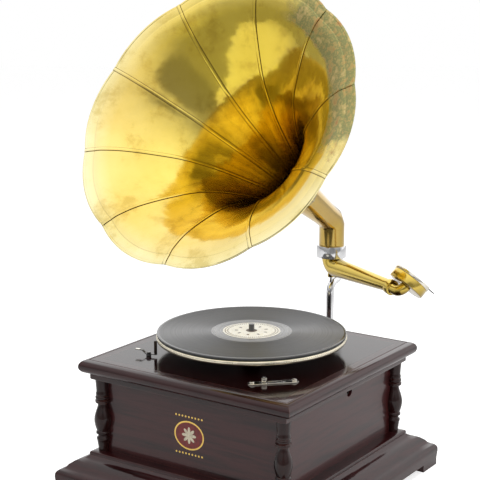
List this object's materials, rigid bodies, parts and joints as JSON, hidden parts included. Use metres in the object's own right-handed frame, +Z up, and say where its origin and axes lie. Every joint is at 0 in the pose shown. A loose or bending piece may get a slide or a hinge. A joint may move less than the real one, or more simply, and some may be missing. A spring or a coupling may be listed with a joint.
{
  "type": "gramophone",
  "caption": "Table gramophone: square mahogany cabinet with turned corner pillars, wind-up turntable motor, swinging tone arm with soundbox, and a flared petal horn of brass.",
  "frame": {"origin": "middle of the floor space the whole takes up, on the floor under the plinth's feet", "axes": "+Z up along the spindle; the cabinet's front faces -Y, the horn's bracket is at +Y and the crank hole faces +X"},
  "size_m": [0.392, 0.4185, 0.6588],
  "materials": {
    "mahogany": "dark red-brown wood under a deep gloss varnish",
    "polished_brass": "mirror-polished lacquered brass",
    "nickel": "polished bright plating",
    "shellac": "black with fine grooves",
    "label_paper": "pale grey printed paper",
    "felt": "dark green felt",
    "leather": "brown leather",
    "mica": "thin translucent sheet",
    "gear_brass": "plain machined brass",
    "steel": "plain steel"
  },
  "bodies": {
    "cabinet": {"base_board": "mahogany", "bracket_screws": "nickel", "brake_post": "nickel", "case_back": "mahogany", "case_front": "mahogany", "case_left": "mahogany", "case_right": "mahogany", "corner_pillars": "mahogany", "frieze_board": "mahogany", "horn_bracket": "nickel", "motor_board": "mahogany", "motor_bottom_plate": "gear_brass", "motor_posts": "steel", "motor_top_plate": "gear_brass", "plinth_back": "mahogany", "plinth_front": "mahogany", "plinth_left": "mahogany", "plinth_right": "mahogany", "speed_plate": "nickel", "speed_plate_screws": "nickel", "speed_post": "steel", "spindle_bush": "nickel", "top_edge_back": "mahogany", "top_edge_front": "mahogany", "top_edge_left": "mahogany", "top_edge_right": "mahogany", "winding_bearing": "steel"},
    "turntable": {"platter": "nickel", "felt_mat": "felt", "record": "shellac", "record_label": "label_paper", "spindle": "nickel", "spindle_wheel": "gear_brass"},
    "barrel": {"spring_barrel": "gear_brass", "barrel_lid": "gear_brass", "mainspring": "steel"},
    "intermediate": {"intermediate_arbor": "steel", "intermediate_wheel": "gear_brass"},
    "governor": {"governor_shaft": "steel", "governor_springs": "steel", "governor_weights": "gear_brass", "governor_disc": "gear_brass"},
    "winding": {"winding_shaft": "steel"},
    "arbor": {"barrel_arbor": "steel", "crown_wheel": "gear_brass"},
    "speed": {"speed_lever": "steel", "friction_pad": "leather"},
    "brake": {"brake_lever": "nickel", "brake_pad": "leather"},
    "tone_arm": {"tonearm": "polished_brass"},
    "soundbox": {"soundbox_crook": "polished_brass", "soundbox_cup": "polished_brass", "soundbox_ring": "polished_brass", "diaphragm": "mica", "stylus_bar": "nickel", "needle": "steel"},
    "horn": {"horn_elbow": "polished_brass", "horn_petals": "polished_brass", "horn_seams": "polished_brass"}
  },
  "joints": [
    {"name": "turntable_spin", "type": "hinge", "parent": "cabinet", "child": "turntable", "pos_m": [0, -0.02325, 0.19], "axis": [0, 0, 1], "continuous": true},
    {"name": "barrel_spin", "type": "hinge", "parent": "cabinet", "child": "barrel", "pos_m": [0.05, -0.00125, 0.11], "axis": [0, 0, 1], "continuous": true},
    {"name": "intermediate_spin", "type": "hinge", "parent": "cabinet", "child": "intermediate", "pos_m": [0.01327, 0.00095, 0.09], "axis": [0, 0, 1], "continuous": true},
    {"name": "governor_spin", "type": "hinge", "parent": "cabinet", "child": "governor", "pos_m": [0.01838, -0.04163, 0.1], "axis": [0, 0, 1], "continuous": true},
    {"name": "winding_turn", "type": "hinge", "parent": "cabinet", "child": "winding", "pos_m": [0.1, -0.00125, 0.141], "axis": [1, 0, 0], "continuous": true},
    {"name": "arbor_turn", "type": "hinge", "parent": "cabinet", "child": "arbor", "pos_m": [0.05, -0.00125, 0.135], "axis": [0, 0, 1], "continuous": true},
    {"name": "speed_set", "type": "hinge", "parent": "cabinet", "child": "speed", "pos_m": [0.0693, -0.09255, 0.15], "axis": [0, 0, 1], "range_deg": [0, 32]},
    {"name": "brake_swing", "type": "hinge", "parent": "cabinet", "child": "brake", "pos_m": [-0.09728, -0.11916, 0.182], "axis": [0, 0, 1], "range_deg": [-35, 0]},
    {"name": "tonearm_swing", "type": "hinge", "parent": "cabinet", "child": "tone_arm", "pos_m": [0, 0.18175, 0.254], "axis": [0, 0, 1], "range_deg": [-56, 15]},
    {"name": "soundbox_tilt", "type": "hinge", "parent": "tone_arm", "child": "soundbox", "pos_m": [0.12326, 0.12427, 0.254], "axis": [0.8951, -0.4174, -0.1564], "range_deg": [-48, 90]},
    {"name": "horn_turn", "type": "hinge", "parent": "cabinet", "child": "horn", "pos_m": [0, 0.18175, 0.28], "axis": [0, 0, 1], "range_deg": [-45, 45]}
  ],
  "couplings": [
    {"joint": "barrel_spin", "follows": "turntable_spin", "ratio": 0.041667},
    {"joint": "intermediate_spin", "follows": "turntable_spin", "ratio": -0.27778},
    {"joint": "governor_spin", "follows": "turntable_spin", "ratio": -5.5},
    {"joint": "arbor_turn", "follows": "winding_turn", "ratio": 0.28571}
  ]
}
